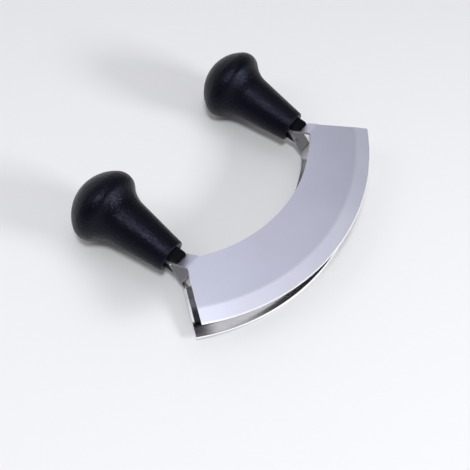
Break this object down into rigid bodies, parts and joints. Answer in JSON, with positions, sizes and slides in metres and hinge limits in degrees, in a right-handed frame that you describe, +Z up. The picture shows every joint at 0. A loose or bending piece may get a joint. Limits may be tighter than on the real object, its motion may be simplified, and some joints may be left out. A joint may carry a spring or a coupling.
{
  "type": "mezzaluna",
  "caption": "Mezzaluna with parallel crescent steel blades and black knob handles, rocked to and fro to chop herbs.",
  "frame": {"origin": "middle of the bounding box's base, on the surface that the mezzaluna lies on", "axes": "+X from the left handle to the right one, +Y from the cutting edges towards the knobs, +Z up from the surface"},
  "size_m": [0.1774, 0.137, 0.0454],
  "materials": {
    "blade_steel": "satin outer faces, bright inner faces and edges",
    "grip_plastic": "satin black with a fine texture",
    "core_plastic": "smooth hard black",
    "pin_steel": "turned"
  },
  "bodies": {
    "root": {"blade_upper": "blade_steel", "blade_lower": "blade_steel", "grip_left": "grip_plastic", "grip_right": "grip_plastic", "core_left": "core_plastic", "core_right": "core_plastic", "tang_pins": "pin_steel"}
  },
  "joints": []
}
